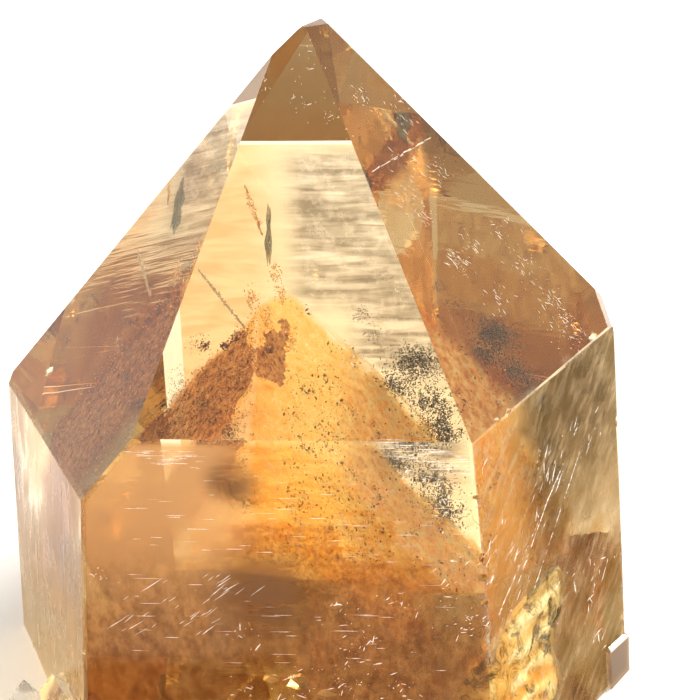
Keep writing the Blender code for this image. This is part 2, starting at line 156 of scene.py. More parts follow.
class Web:
    """A material's web of nodes, written one node at a time."""

    def __init__(self, name):
        self.material = bpy.data.materials.new(name)
        self.material.use_nodes = True
        self.tree = self.material.node_tree
        self.shader = self.tree.nodes["Principled BSDF"]
        self.output = self.tree.nodes["Material Output"]

    def feed(self, socket, value):
        if isinstance(value, bpy.types.NodeSocket):
            self.tree.links.new(value, socket)
        else:
            socket.default_value = value

    def node(self, kind, settings=None, **inputs):
        """Add a node. An input's name is its socket's, with _ for a space."""
        made = self.tree.nodes.new("ShaderNode" + kind)
        for key, value in (settings or {}).items():
            setattr(made, key, value)
        for key, value in inputs.items():
            self.feed(made.inputs[key.replace("_", " ")], value)
        return made

    def set(self, **inputs):
        """Feed the main shader's inputs."""
        for key, value in inputs.items():
            self.feed(self.shader.inputs[key.replace("_", " ")], value)

    def paint(self, colour, roughness):
        self.set(Base_Color=colour, Roughness=roughness)

    def place(self, across=1.0, up=1.0):
        """Where a point lies in mm along the crystal's axes, times a stretch."""
        where = self.node("NewGeometry").outputs["Position"]
        ruler = self.node("Mapping", {"vector_type": "TEXTURE"}, Vector=where)
        ruler.inputs["Location"].default_value = AXIS_POINT
        ruler.inputs["Rotation"].default_value = LEAN.to_euler()
        ruler.inputs["Scale"].default_value = (MM, MM, MM)
        return self.vectors("MULTIPLY", ruler.outputs["Vector"], (across, across, up))

    def along(self, axis):
        """How far along one of the crystal's axes a point lies, in mm."""
        return self.node("SeparateXYZ", Vector=self.place()).outputs[axis]

    def noise(self, size, across=1.0, up=1.0, detail=4.0, roughness=0.55, bend=0.0, where=None):
        """Clouds so many mm across; a stretch below 1 draws them out that way."""
        where = where or self.place(across, up)
        settings = dict(Scale=1 / size, Detail=detail, Roughness=roughness, Distortion=bend)
        return self.node("TexNoise", Vector=where, **settings).outputs["Fac"]

    def sums(self, kind, operation, values, result=0):
        """A node that calculates with one or two values."""
        made = self.node(kind, {"operation": operation})
        for socket, value in zip(made.inputs, values):
            self.feed(socket, value)
        return made.outputs[result]

    def vectors(self, operation, *values, result="Vector"):
        return self.sums("VectorMath", operation, values, result)

    def maths(self, operation, *values):
        return self.sums("Math", operation, values)

    def times(self, first, second):
        return self.maths("MULTIPLY", first, second)

    def larger(self, first, second):
        return self.maths("MAXIMUM", first, second)

    def rescale(self, value, low, high, new_low=0.0, new_high=1.0):
        """Move a value softly from one range to another."""
        limits = dict(From_Min=low, From_Max=high, To_Min=new_low, To_Max=new_high)
        made = self.node("MapRange", {"interpolation_type": "SMOOTHSTEP"}, Value=value, **limits)
        return made.outputs["Result"]

    def edge(self, width):
        """None at a film's edge and one from `width` mm inwards."""
        fade = self.node("Attribute", {"attribute_name": "fade"}).outputs["Fac"]
        return self.rescale(fade, 0.0, width)

    def ramp(self, value, *stops):
        """A colour ramp: each stop is its place and its colour."""
        made = self.node("ValToRGB", Fac=value)
        steps = made.color_ramp.elements
        while len(steps) < len(stops):
            steps.new(0.5)
        for step, (place, colour) in zip(steps, stops):
            step.position = place
            step.color = (*colour, 1.0)
        return made.outputs["Color"]

    def blend(self, share, first, second, kind="MIX"):
        """A colour between two, each of which is a colour or a node's output."""
        made = self.node("Mix", {"data_type": "RGBA", "blend_type": kind})
        for socket, value in zip(made.inputs[:1] + made.inputs[6:8], (share, first, second)):
            self.feed(socket, (*value, 1.0) if isinstance(value, tuple) else value)
        return made.outputs[2]

    def darken(self, first, second):
        """Two colours multiplied."""
        return self.blend(1.0, first, second, "MULTIPLY")

    def spot(self, middle, half):
        """A soft spot: one in its middle, none past its half sizes, in mm across and up."""
        off = self.vectors("SUBTRACT", self.place(), (middle[0], 0.0, middle[1]))
        shape = self.vectors("MULTIPLY", off, (1 / half[0], 0.0, 1 / half[1]))
        return self.rescale(self.vectors("LENGTH", shape, result="Value"), 1.0, 0.2)

    def reach(self, direction):
        """How far a point lies along a direction, in mm."""
        return self.vectors("DOT_PRODUCT", self.place(), direction, result="Value")

    def depth_under(self, plane):
        """How far under a plane a point lies, in mm."""
        return self.maths("SUBTRACT", plane.distance, self.reach(plane.normal))

    def bump(self, height, distance):
        """A bump of so many mm, fed to the main shader."""
        made = self.node("Bump", Height=height, Strength=1.0, Distance=distance * MM)
        self.feed(self.shader.inputs["Normal"], made.outputs["Normal"])

    def mix_shaders(self, share, first, second):
        made = self.node("MixShader", Fac=share)
        self.feed(made.inputs[1], first.outputs[0])
        self.feed(made.inputs[2], second.outputs[0])
        return made

    def film(self, cover, tint, glow_share=0.5):
        """Turn the shader into a thin film of dust; `tint` colours the light between grains."""
        colour = self.shader.inputs["Base Color"]
        source = colour.links[0].from_socket if colour.is_linked else colour.default_value
        glow = self.node("BsdfTranslucent", Color=source)
        dust = self.mix_shaders(glow_share, self.shader, glow)
        gap = self.node("BsdfTransparent", Color=(*tint, 1.0) if isinstance(tint, tuple) else tint)
        self.feed(self.output.inputs["Surface"], self.mix_shaders(cover, gap, dust).outputs[0])
        return self.material

# %% [markdown]
# ## Camera
# The view comes first, because clear stone is all about what lies behind what. A long lens
# from a hand's distance looks down on the front face, and the foot lies just out of frame.

# %% Camera
VIEW_HEADING = 7.04
VIEW_RISE = 38.46
VIEW_DISTANCE = 297.8 * MM
AIM = TO_WORLD @ Vector((3.35, 0.0, 8.925))
LENS = 153.1


def new_object(name, data):
    made = bpy.data.objects.new(name, data)
    bpy.context.collection.objects.link(made)
    return made


def aim(thing, heading, rise, distance):
    """Stand a camera or a lamp so far from the stone, facing it."""
    away = normal_of(heading, rise)
    thing.location = AIM + away * distance
    thing.rotation_euler = away.to_track_quat("Z", "Y").to_euler()


data = bpy.data.cameras.new("camera")
data.lens = LENS
data.sensor_width = 36.0
data.clip_start = 0.01
camera = new_object("camera", data)
aim(camera, VIEW_HEADING, VIEW_RISE, VIEW_DISTANCE)
bpy.context.scene.camera = camera

# %% [markdown]
# ## Light and floor
# Clear stone has almost no colour of its own, so it shows whatever stands around it. A pale
# floor and a soft sky fill it with light from every side. The sky is brightest low down and
# dims towards the top, which keeps the lower front face deep in colour: that face mirrors
# the sky overhead. One large soft lamp behind on the right makes the dust glow and throws
# the shadow to the front left. Light bounces around inside quartz many times, so more
# bounces are allowed.

# %% The floor
FLOOR_DROP = 0.05 * MM
FLOOR_HALF_WIDTH = 1.5

mesh = bmesh.new()
bmesh.ops.create_grid(mesh, x_segments=1, y_segments=1, size=FLOOR_HALF_WIDTH)
data = bpy.data.meshes.new("floor")
mesh.to_mesh(data)
mesh.free()
floor = new_object("floor", data)
floor.location.z = -FLOOR_DROP
web = Web("pale_floor")
tone = web.noise(40.0, detail=1.0)
colour = web.ramp(tone, (0.3, (0.90, 0.90, 0.89)), (0.7, (0.93, 0.93, 0.92)))
web.paint(colour, 0.9)
data.materials.append(web.material)

# %% The sky
# Each stop of the sky is its height and its brightness.
SKY_WHITE = (1.0, 0.985, 0.96)
SKY_STOPS = ((0.0, 2.6), (0.12, 2.0), (0.30, 1.2), (0.60, 0.95), (0.88, 0.50))
SKY_SCALE = 3.0

sky = bpy.data.worlds.new("studio")
sky.use_nodes = True
nodes = sky.node_tree.nodes
links = sky.node_tree.links
direction = nodes.new("ShaderNodeTexCoord")
parts = nodes.new("ShaderNodeSeparateXYZ")
links.new(direction.outputs["Generated"], parts.inputs["Vector"])
shade = nodes.new("ShaderNodeValToRGB")
links.new(parts.outputs["Z"], shade.inputs["Fac"])
stops = shade.color_ramp.elements
while len(stops) < len(SKY_STOPS):
    stops.new(0.5)
for stop, (height, brightness) in zip(stops, SKY_STOPS):
    stop.position = height
    stop.color = (*[part * brightness / SKY_SCALE for part in SKY_WHITE], 1.0)
glow = nodes["Background"]
links.new(shade.outputs["Color"], glow.inputs["Color"])
glow.inputs["Strength"].default_value = SKY_SCALE
bpy.context.scene.world = sky

# %% The lamp
KEY_HEADING = 142.0
KEY_RISE = 34.0
KEY_DISTANCE = 0.55
KEY_SIZE = 0.28
KEY_POWER = 6.2
KEY_COLOUR = (1.0, 0.96, 0.90)

data = bpy.data.lights.new("key", "AREA")
data.shape = "DISK"
data.size = KEY_SIZE
data.energy = KEY_POWER
data.color = KEY_COLOUR
aim(new_object("key", data), KEY_HEADING, KEY_RISE, KEY_DISTANCE)

# %% Colour and bounces
scene = bpy.context.scene
scene.view_settings.view_transform = "Standard"
scene.cycles.max_bounces = 13
scene.cycles.glossy_bounces = 10
scene.cycles.transmission_bounces = 13
scene.cycles.transparent_max_bounces = 18

# %% [markdown]
# ## Clear quartz
# Quartz bends light by a known amount, 1.544, and its amber tint comes from absorption: the
# longer the way through the stone, the browner the light. Growth left fine waves across the
# sides, which a bump draws. The left side and parts of the right side were etched, so they
# are frosted. The low step on the right foot lies past the right side's plane, and is dull too.

# %% Clear quartz
QUARTZ_BEND = 1.544
AMBER = (0.75, 0.52, 0.02)
AMBER_DENSITY = 17.5


def amber_quartz():
    web = Web("amber_quartz")
    left_rim = web.rescale(web.depth_under(Plane(*LEFT_SIDE)), 0.5, 0.2)
    right_depth = web.depth_under(Plane(*RIGHT_SIDE))
    right_rim = web.rescale(right_depth, 0.5, 0.2)
    etched = web.rescale(web.noise(5.0, up=0.45, detail=1.0), 0.42, 0.62, 0.0, 0.30)
    dull = web.times(right_rim, etched)
    frost = web.rescale(web.noise(1.6, up=0.25, detail=2.0), 0.35, 0.65, 0.20, 0.42)
    dull = web.larger(dull, web.times(left_rim, frost))
    dull = web.larger(dull, web.rescale(right_depth, -0.05, -0.3, 0.0, 0.35))
    waves = web.noise(0.85, across=0.10, detail=2.0)
    sway = web.noise(4.0, detail=0.0)
    faces = web.node("NewGeometry").outputs["True Normal"]
    facing = web.vectors("DOT_PRODUCT", faces, LEAN @ Vector((0, 0, 1)), result="Value")
    upright = web.rescale(web.maths("ABSOLUTE", facing), 0.35, 0.25)
    grown = web.times(waves, upright)
    web.bump(web.maths("ADD", grown, web.times(sway, 0.9)), 0.008)
    ledge = web.rescale(right_depth, -0.05, -0.3)
    skin = web.blend(ledge, WHITE, (0.62, 0.42, 0.22))
    web.set(Base_Color=skin, Roughness=dull, Transmission_Weight=1.0, IOR=QUARTZ_BEND)
    tint = web.node("VolumeAbsorption", Color=(*AMBER, 1.0), Density=AMBER_DENSITY)
    web.feed(web.output.inputs["Volume"], tint.outputs["Volume"])
    return web.material


AMBER_QUARTZ = amber_quartz()
crystal.data.materials.clear()
crystal.data.materials.append(AMBER_QUARTZ)

# %% [markdown]
# ## Making meshes
# Every detail below is a plain mesh, made from lists of corners and faces in the crystal's
# axes. `add_piece` moves it into the world and ties it to the stone. Veils and grains are
# thousands of small faces joined in a few meshes, which is quick to draw and easy to export.

# %% Mesh tools
WELD = 0.002


def tie_piece(name, data, finish, smooth, replaced=None):
    """Give a mesh its finish and tie it to the stone as one piece."""
    data.materials.clear()
    data.materials.append(finish)
    data.shade_smooth() if smooth else data.shade_flat()
    piece = new_object(name, data)
    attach(piece, "root")
    if replaced:
        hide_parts(replaced)
    print(f"{name}: {len(data.polygons)} faces")


def welded_copy(solid):
    """A solid's mesh to rework, with corners that lie on top of each other joined."""
    mesh = bmesh.new()
    mesh.from_mesh(solid.data)
    bmesh.ops.remove_doubles(mesh, verts=mesh.verts, dist=WELD * MM)
    return mesh


def add_reworked(name, mesh, finish, smooth, replaced):
    """A piece from a solid's reworked mesh."""
    data = bpy.data.meshes.new(name)
    mesh.to_mesh(data)
    mesh.free()
    tie_piece(name, data, finish, smooth, replaced)


def add_piece(name, corners, faces, fades, finish, slot="quartz", replaced=None):
    """A mesh from corners in mm along the crystal's axes; `fades` is a value per corner."""
    data = bpy.data.meshes.new(name)
    data.from_pydata([TO_WORLD @ Vector(corner) for corner in corners], [], faces)
    if fades:
        data.attributes.new("fade", "FLOAT", "POINT").data.foreach_set("value", fades)
    tie_piece(name, data, finish, bool(fades), replaced)


def no_wobble(point):
    return 0.0


def veil_mesh(plane, spread, step, inside, wobble):
    """A wavy sheet on a plane. `inside` gives how far in a point is, in mm: below 0 is cut."""
    low_u, high_u, low_v, high_v = spread
    columns = int((high_u - low_u) / step)
    rows = int((high_v - low_v) / step)
    corners = []
    fades = []
    index = {}
    for j in range(rows + 1):
        for i in range(columns + 1):
            flat = plane.point(low_u + i * step, low_v + j * step)
            fade = inside(flat)
            if fade > 0:
                index[i, j] = len(corners)
                corners.append(flat + plane.normal * wobble(flat))
                fades.append(fade)
    faces = []
    for i, j in index:
        ring = [(i, j), (i + 1, j), (i + 1, j + 1), (i, j + 1)]
        if all(corner in index for corner in ring):
            faces.append([index[corner] for corner in ring])
    return corners, faces, fades

# %% [markdown]
# ## One clear piece
# In the solids the phantom stands in a pocket of its own. In the stone there is no pocket:
# the young crystal and the old one are the same clear quartz. So the crystal is copied, the
# pocket's walls are taken out and the foot is closed. The copy's growth lines are also made
# shallower, because light shows a line far better than a fingertip feels it.

# %% The sealed crystal
PHANTOM = {
    "front_point": Plane(0.7, 36.0, 9.84),
    "left_point": Plane(-61.7, 35.7, 8.44),
    "right_point": Plane(59.2, 38.8, 1.64),
    "back_left_point": Plane(-117.5, 37.4, 11.26),
    "back_right_point": Plane(119.6, 36.8, 7.2),
    "back_point": Plane(180.0, 38.2, 12.2),
    "front_side": Plane(0.4, -0.3, 12.6),
    "left_side": Plane(-61.6, 0.0, 19.0),
    "right_side": Plane(60.8, 0.0, 16.5),
    "back_right_side": Plane(120.0, 0.0, 17.0),
    "back_left_side": Plane(-120.0, 0.0, 19.0),
    "back_side": Plane(180.0, 0.0, 17.0),
}
POCKET_GAP = 0.3
CRYSTAL_SIDES = [Plane(*side) for side in (FRONT_SIDE, LEFT_SIDE, RIGHT_SIDE, BACK_SIDE)]
CRYSTAL_SIDES += [Plane(120.0, -0.4, 25.38), Plane(-119.9, -0.8, 27.48)]
FRONT_POINT = Plane(0.7, 35.8, 25.38)
LEFT_POINT = Plane(-61.7, 35.7, 26.08)
RIGHT_POINT = Plane(59.2, 38.8, 28.20)
BACK_POINTS = [Plane(-117.5, 37.4, 26.11), Plane(180.0, 38.2, 29.90)]
SHALLOWEST_LINE = 0.002
DEEPEST_LINE = 0.03
LINE_SOFTENING = 0.92
FOOT_HEIGHT = 0.05
SAME_FACING = 0.99


def phantom_depth(point, without=()):
    """How far inside the phantom's faces a point lies, in mm."""
    return min(plane.depth(point) for name, plane in PHANTOM.items() if name not in without)


def neighbours_depth(plane, point):
    """How far inside the crystal's other sides a point on one side lies, in mm."""
    others = [side for side in CRYSTAL_SIDES if side.normal.dot(plane.normal) < SAME_FACING]
    return min(side.depth(point) for side in others)


def soften_lines(mesh):
    for corner in mesh.verts:
        point = FROM_WORLD @ corner.co
        for side in CRYSTAL_SIDES:
            depth = side.depth(point)
            if SHALLOWEST_LINE < depth < DEEPEST_LINE:
                point += side.normal * depth * LINE_SOFTENING
        corner.co = TO_WORLD @ point


mesh = welded_copy(crystal)
walls = []
for face in mesh.faces:
    middle = face.calc_center_median()
    if middle.z > FOOT_HEIGHT * MM and phantom_depth(FROM_WORLD @ middle) > -2 * POCKET_GAP:
        walls.append(face)
bmesh.ops.delete(mesh, geom=walls, context="FACES")
rim = [edge for edge in mesh.edges if edge.is_boundary]
bmesh.ops.contextual_create(mesh, geom=rim)
soften_lines(mesh)
open_edges = sum(not edge.is_manifold for edge in mesh.edges)
print("pocket walls taken out:", len(walls), "rim edges:", len(rim), "open edges left:", open_edges)
add_reworked("clear_quartz", mesh, AMBER_QUARTZ, False, "quartz_crystal")

# %% [markdown]
# ## The phantom
# The phantom has the same faces as the crystal around it. Only a film of dust marks each
# face, with clear quartz on both sides. A film is part clear, part dust and part tinted,
# because light both passes through the dust and scatters on it. The right face glows gold
# like stained glass, and the left face is thick and brown, with streaks that run down it.
# Both colours are partly painted: the gold adds painted light for the lit side, and the brown
# adds painted shade for the shaded side.

# %% The phantom's films
PHANTOM_FOOT = -15.0
PHANTOM_SPREAD = (-30.0, 30.0, -30.0, 20.0)
FILM_STEP = 0.3
# Where the film turns from golden, with painted light, to brown, with painted shade.
GOLD_LIMIT = -2.3
GOLD_TOP = 8.3  # near its point the whole phantom is golden
GOLD_SPREADS = 5.0  # how much further left the gold reaches on the phantom's front
FRONT_EDGE_OVERLAP = 0.4


def above_foot(point):
    return (TO_WORLD @ point).z / MM - 0.1


def film_inside(own, foot):
    """How far inside the phantom's other faces a point on one face lies."""
    partner = {"left_point": "right_point", "right_point": "left_point"}.get(own)

    def inside(point):
        near = phantom_depth(point, (own, partner)) + 0.4
        near = min(near, 0.5 * (point.z - foot) + 3 * wander(point, 6.0, 2.0))
        near = min(near + 0.5 * cloudy(point, 2.5, 9.0), above_foot(point))
        if own == "left_point":
            near = min(near, 0.26 * (point.y + 6.5))
        if partner:
            near = min(near, PHANTOM[partner].depth(point) + FRONT_EDGE_OVERLAP)
        return near

    return inside


def film_wobble(point):
    return 0.35 * wander(point, 3.0, 4.0) + 0.12 * wander(point, 0.8, 7.0)


def gold_dust_and_light():
    web = Web("gold_dust_and_light")
    fine = web.noise(0.7, up=0.5, detail=5.0, roughness=0.65)
    broad = web.noise(4.0)
    bright = web.ramp(
        fine, (0.35, (0.80, 0.32, 0.08)), (0.5, (1.0, 0.62, 0.22)), (0.66, (1.0, 0.86, 0.50))
    )
    colour = web.blend(web.rescale(broad, 0.45, 0.7, 0.0, 0.6), bright, (0.92, 0.42, 0.15))
    web.paint(colour, 0.9)
    thick = web.rescale(fine, 0.3, 0.7, 0.04, 0.36)
    across = web.along("X")
    thick = web.maths("ADD", thick, web.rescale(across, 1.5, 6.0, 0.0, 0.70))
    cover = web.times(web.edge(1.5), thick)
    tint = web.ramp(
        fine, (0.33, (0.94, 0.52, 0.15)), (0.42, (1.0, 0.74, 0.31)), (0.60, (1.0, 0.88, 0.46))
    )
    clear = web.edge(1.0)
    return web.film(cover, web.blend(clear, WHITE, tint), 0.3)


def brown_dust_and_shade():
    web = Web("brown_dust_and_shade")
    streaks = web.noise(0.42, up=0.32, detail=6.0, roughness=0.8)
    broad = web.noise(3.0)
    colour = web.ramp(
        streaks,
        (0.38, (0.10, 0.04, 0.02)),
        (0.45, (0.42, 0.19, 0.08)),
        (0.54, (0.74, 0.38, 0.16)),
        (0.64, (1.0, 0.68, 0.34)),
    )
    colour = web.blend(web.rescale(broad, 0.45, 0.75, 0.0, 0.4), colour, (0.42, 0.22, 0.10))
    web.paint(colour, 0.9)
    cover = web.times(web.edge(1.3), web.rescale(streaks, 0.36, 0.6, 0.85, 0.6))
    tint = web.ramp(streaks, (0.38, (0.38, 0.17, 0.06)), (0.60, (0.92, 0.58, 0.28)))
    return web.film(cover, web.blend(web.edge(0.8), WHITE, tint))


def haze_dust(name, colour, cover, tint):
    """A faint, soft film that only warms the light."""
    web = Web(name)
    cloud = web.noise(3.0, up=0.6, detail=2.0)
    shade = [0.8 * part for part in colour]
    web.set(Base_Color=web.ramp(cloud, (0.3, colour), (0.7, shade)), Roughness=0.9)
    edge = web.edge(4.0)
    soft = web.times(edge, web.rescale(cloud, 0.3, 0.7, 0.4, 1.0))
    return web.film(web.times(soft, cover), web.blend(edge, WHITE, tint))


def add_split(name, sheet, finishes):
    """One film in two pieces, golden and brown: dust, with painted light on one side and painted shade
    on the other.
    """
    corners, faces, fades = sheet

    def golden(face):
        middle = corners[face[0]]
        limit = GOLD_LIMIT - GOLD_SPREADS * smooth_step(middle.y, -1.0, -4.0)
        ragged = 0.5 * wander(middle, 1.2, 3.0)
        return middle.x > limit + ragged or middle.z > GOLD_TOP + 2 * ragged

    for is_gold, finish in zip((True, False), finishes):
        kept = [face for face in faces if golden(face) == is_gold]
        add_piece(f"{name}_{finish.name}", corners, kept, fades, finish, "phantom_dust", "phantom")


def add_phantom():
    gold = gold_dust_and_light()
    brown = brown_dust_and_shade()
    faint = haze_dust("faint_dust", (0.9, 0.6, 0.3), 0.14, (1.0, 0.96, 0.88))
    sheets = {}
    for name in ("left_point", "right_point"):
        inside = film_inside(name, PHANTOM_FOOT)
        sheets[name] = veil_mesh(PHANTOM[name], PHANTOM_SPREAD, FILM_STEP, inside, film_wobble)
    add_split("phantom_right", sheets["right_point"], (gold, brown))
    add_split("phantom_left", sheets["left_point"], (gold, brown))
    for name in PHANTOM:
        if name not in ("left_point", "right_point", "front_point", "front_side"):
            inside = film_inside(name, -23.0)
            sheet = veil_mesh(PHANTOM[name], PHANTOM_SPREAD, 2 * FILM_STEP, inside, film_wobble)
            add_piece("phantom_" + name, *sheet, faint, "phantom_dust", "phantom")
    return sheets


SHEETS = add_phantom()

# %% [markdown]
# ## Cloudy root
# Near its root the crystal grew fast and trapped fluid, dust and tiny cracks, so that end is
# brown and cloudy. The densest part lies on the phantom's front side and has a sharp upper
# edge, where that side ends. Wavy curtains further in stand for the rest of the cloud.

# %% Cloudy root
ROOT_EDGE_ACROSS = (-22.0, -17.5, -11.3, -6.6, 3.3, 4.0, 9.3, 16.0)
ROOT_EDGE_HEIGHT = (-9.5, -6.3, -3.3, -0.7, -0.6, -4.6, -5.4, -4.6)
ROOT_FOOT = -24.0
ROOT_CURTAINS = {
    "root_middle": ((0.4, -0.3, -2.0), -15.0),
    "root_right": ((60.8, 0.0, 14.0), -13.0),
    "root_back": ((180.0, 0.0, 12.0), -15.0),
}
ROOT_SPREAD = (-26.0, 24.0, -26.0, 3.0)
ROOT_SIDES_IN = 3.0


def root_dust(name, cover, tint_low, tint_high):
    web = Web(name)
    small = web.noise(0.6, up=0.8, detail=4.0, roughness=0.72)
    broad = web.noise(5.0, detail=2.0)
    colour = web.ramp(
        small,
        (0.38, (0.20, 0.08, 0.02)),
        (0.46, (0.50, 0.25, 0.07)),
        (0.54, (0.86, 0.48, 0.15)),
        (0.62, (1.0, 0.74, 0.34)),
    )
    colour = web.blend(web.rescale(broad, 0.45, 0.68, 0.0, 0.5), colour, (0.46, 0.24, 0.08))
    web.paint(colour, 0.9)
    edge = web.edge(1.0)
    patch = web.rescale(broad, 0.36, 0.62, 0.45, 1.0)
    soft = web.times(web.times(edge, patch), cover)
    tint = web.ramp(small, (0.38, tint_low), (0.62, tint_high))
    return web.film(soft, web.blend(edge, WHITE, tint))


def inside_prism(point, margin):
    """How far inside the crystal's upright sides, less a margin, a point lies."""
    return min(side.depth(point) for side in CRYSTAL_SIDES) - margin


def front_root_inside(point):
    edge = float(np.interp(point.x, ROOT_EDGE_ACROSS, ROOT_EDGE_HEIGHT))
    soft = 0.25 if point.x < -7.0 else 1.2
    below = (edge - point.z) * soft + 0.25 * cloudy(point, 1.6, 12.0)
    sides = min(PHANTOM["left_side"].depth(point), PHANTOM["right_side"].depth(point)) + 1.0
    thin = 0.16 * (point.x + 16.0) + 0.3 * cloudy(point, 3.0, 14.0) if point.x < -8.0 else 9.0
    open_corner = max(0.12, 0.3 * (point.z + 13.0), 0.4 * (point.x + 2.0))
    return min(below, sides, thin, open_corner, point.z - ROOT_FOOT)


def curtain_inside(top):
    def inside(point):
        below = 0.35 * (top - point.z) + 1.2 * cloudy(point, 5.0, 15.0)
        return min(below, inside_prism(point, ROOT_SIDES_IN), point.z - ROOT_FOOT, above_foot(point))

    return inside


def root_wobble(point):
    return 0.8 * wander(point, 5.0, 21.0) + 0.25 * wander(point, 1.2, 23.0)


def front_root_wobble(point):
    return 0.4 * root_wobble(point)


sheet = veil_mesh(PHANTOM["front_side"], ROOT_SPREAD, FILM_STEP, front_root_inside, front_root_wobble)
dense = root_dust("root_front_dust", 0.42, (0.66, 0.42, 0.14), (1.0, 0.78, 0.38))
add_piece("root_front", *sheet, dense, "phantom_dust", "phantom")
curtain = root_dust("root_dust", 0.10, (0.95, 0.84, 0.62), (1.0, 0.93, 0.76))
for name, (face, top) in ROOT_CURTAINS.items():
    sheet = veil_mesh(Plane(*face), ROOT_SPREAD, 2 * FILM_STEP, curtain_inside(top), root_wobble)
    add_piece(name, *sheet, curtain, "phantom_dust")

# %% [markdown]
# ## A golden veil on the front side
# The lower front side looks golden all over, because fine dust and fluid lie in level layers
# just under its skin. A film on the outside carries them, so that light which the side mirrors
# inwards doesn't cross it: golden above, amber and mottled below. It is hazy at the left and
# thin at the upper right, where the stone is clear, and in the lower left corner. Two soft dark
# spots in its middle are painted shade.

# %% The front veil
FRONT_VEIL = Plane(0.4, -0.3, 22.64)
FRONT_VEIL_SPREAD = (-22.0, 22.0, -26.0, 13.0)
FRONT_VEIL_STEP = 0.4


def front_veil_finish():
    web = Web("front_veil")
    height = web.along("Z")
    across = web.along("X")
    layers = web.noise(0.9, across=0.12, detail=3.0, roughness=0.65)
    mottle = web.noise(1.2, up=0.6, detail=4.0, roughness=0.7)
    low = web.rescale(height, 2.0, -9.0)
    gold = web.ramp(layers, (0.40, (0.92, 0.69, 0.40)), (0.58, (1.0, 0.90, 0.64)))
    amber = web.ramp(
        mottle, (0.36, (0.66, 0.44, 0.22)), (0.50, (0.88, 0.66, 0.38)), (0.64, (1.0, 0.84, 0.54))
    )
    tint = web.blend(low, gold, amber)
    # Painted shade: two soft spots darken the tint and the dust in the middle.
    shade = web.larger(web.spot((-5.2, 7.3), (3.8, 3.6)), web.spot((-3.5, -5.5), (8.0, 7.5)))
    shade = web.times(shade, web.rescale(layers, 0.34, 0.52, 0.5, 1.0))
    tint = web.blend(shade, tint, (0.44, 0.28, 0.12))
    depth = web.rescale(height, 10.0, -18.0)
    dust = web.ramp(
        depth, (0.0, (0.80, 0.45, 0.19)), (0.40, (0.64, 0.34, 0.13)), (1.0, (0.41, 0.205, 0.08))
    )
    ragged = web.ramp(mottle, (0.36, (0.55, 0.50, 0.45)), (0.62, (1.0, 1.0, 1.0)))
    dust = web.blend(low, dust, web.darken(dust, ragged))
    web.set(Base_Color=web.blend(shade, dust, (0.28, 0.14, 0.055)), Roughness=0.4)
    edge = web.edge(2.5)
    haze = web.times(web.rescale(across, -1.0, -8.0), 0.72)
    haze = web.larger(haze, web.times(low, 0.42))
    haze = web.larger(haze, web.rescale(mottle, 0.42, 0.66, 0.05, 0.25))
    haze = web.larger(haze, web.times(shade, 0.6))
    corner = web.times(web.rescale(height, -11.0, -15.0), web.rescale(across, 2.0, -4.0))
    haze = web.times(haze, web.rescale(corner, 0.0, 1.0, 1.0, 0.3))
    return web.film(web.times(edge, haze), web.blend(edge, WHITE, tint), 0.4)


def front_veil_inside(point):
    """How far in from the front side's edges a point lies, and less at the upper right."""
    tops = min(FRONT_POINT.depth(point), LEFT_POINT.depth(point))
    inside = 4.5 * min(tops, above_foot(point), neighbours_depth(FRONT_VEIL, point))
    clear_right = 0.6 * (9.0 - point.x) + 0.5 * (5.5 - point.z)
    return min(inside, max(0.8, clear_right + 1.2 * cloudy(point, 3.0, 17.0)))


sheet = veil_mesh(FRONT_VEIL, FRONT_VEIL_SPREAD, FRONT_VEIL_STEP, front_veil_inside, no_wobble)
add_piece("front_veil", *sheet, front_veil_finish())

# %% [markdown]
# ## Growth lines behind the window
# The clear upper part looks through to the back side, whose growth lines bend the light
# behind into wavy pale and grey bands. A thin film on the back side carries them: it holds
# back more light along the grey bands and less between them. It lies on the outside, so that
# light which the back side mirrors inwards doesn't cross it.

# %% Growth lines on the back
BACK_FILM = Plane(180.0, 0.0, 23.56)
BACK_SPREAD = (-17.0, 16.0, -18.0, 19.0)
BACK_STEP = 0.5
LINES_TOP = 18.6


def line_film():
    web = Web("growth_line_film")
    bands = web.noise(0.80, across=0.10, detail=3.0, roughness=0.6, bend=0.6)
    broad = web.noise(2.4, across=0.25, detail=2.0, bend=0.8)
    blotch = web.noise(1.1, detail=4.0, roughness=0.65)
    tone = web.maths("ADD", web.times(bands, 0.55), web.times(broad, 0.45))
    tone = web.maths("ADD", web.times(tone, 0.8), web.times(blotch, 0.2))
    tint = web.ramp(
        tone,
        (0.40, (0.30, 0.26, 0.20)),
        (0.47, (0.48, 0.43, 0.36)),
        (0.53, (0.66, 0.61, 0.53)),
        (0.60, (0.90, 0.86, 0.78)),
    )
    web.set(Base_Color=(0.9, 0.88, 0.84, 1.0), Roughness=0.9)
    left = web.along("X")
    strength = web.times(web.edge(3.0), web.rescale(left, -5.5, -2.0, 0.08, 1.0))
    low = web.along("Z")
    behind_gold = web.times(web.rescale(low, 2.0, -4.0), web.rescale(left, 4.0, 0.0))
    strength = web.times(strength, web.rescale(behind_gold, 0.0, 1.0, 1.0, 0.15))
    strength = web.times(strength, web.rescale(low, -12.0, -7.0, 0.2, 1.0))
    window = web.blend(web.rescale(low, -2.0, 3.0), (1.0, 0.93, 0.76), (0.88, 0.80, 0.62))
    gilt = web.ramp(broad, (0.40, (0.86, 0.58, 0.33)), (0.58, (0.97, 0.74, 0.48)))
    window = web.blend(web.rescale(left, -4.0, -9.0), window, gilt)
    cover = web.times(strength, web.rescale(blotch, 0.42, 0.68, 0.02, 0.22))
    return web.film(cover, web.blend(strength, window, tint))


def lines_inside(point):
    tops = 4.0 * min(top.depth(point) for top in BACK_POINTS)
    return min(neighbours_depth(BACK_FILM, point) - 0.3, LINES_TOP - point.z, tops)


def lines_wobble(point):
    return 0.02 * wander(point, 2.0, 5.0)


sheet = veil_mesh(BACK_FILM, BACK_SPREAD, BACK_STEP, lines_inside, lines_wobble)
add_piece("growth_lines", *sheet, line_film())

